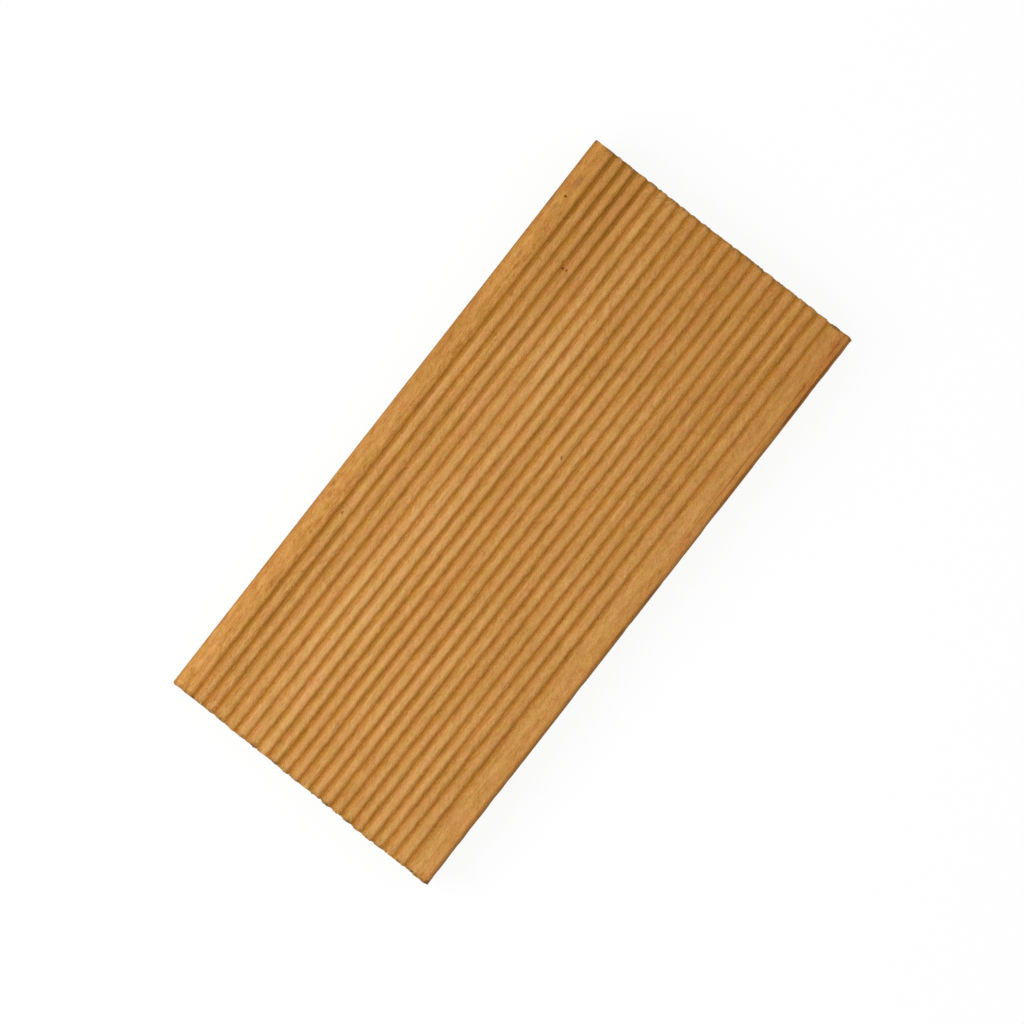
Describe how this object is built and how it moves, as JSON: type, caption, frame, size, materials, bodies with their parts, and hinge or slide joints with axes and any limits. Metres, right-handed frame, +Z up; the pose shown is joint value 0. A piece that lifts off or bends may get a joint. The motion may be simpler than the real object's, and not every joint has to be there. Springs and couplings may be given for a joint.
{
  "type": "decking board",
  "caption": "Short sawn length of hardwood decking board with a finely reeded walking face, a plain land along each rounded long edge and a flat underside.",
  "frame": {"origin": "middle of the flat underside, on the surface that the board lies on", "axes": "+X along the length and the grain, +Y across the width towards the narrower plain land, +Z up through the reeded walking face"},
  "size_m": [0.309, 0.145, 0.025],
  "materials": {
    "hardwood": "matte"
  },
  "bodies": {
    "root": {"decking_board": "hardwood"}
  },
  "joints": []
}
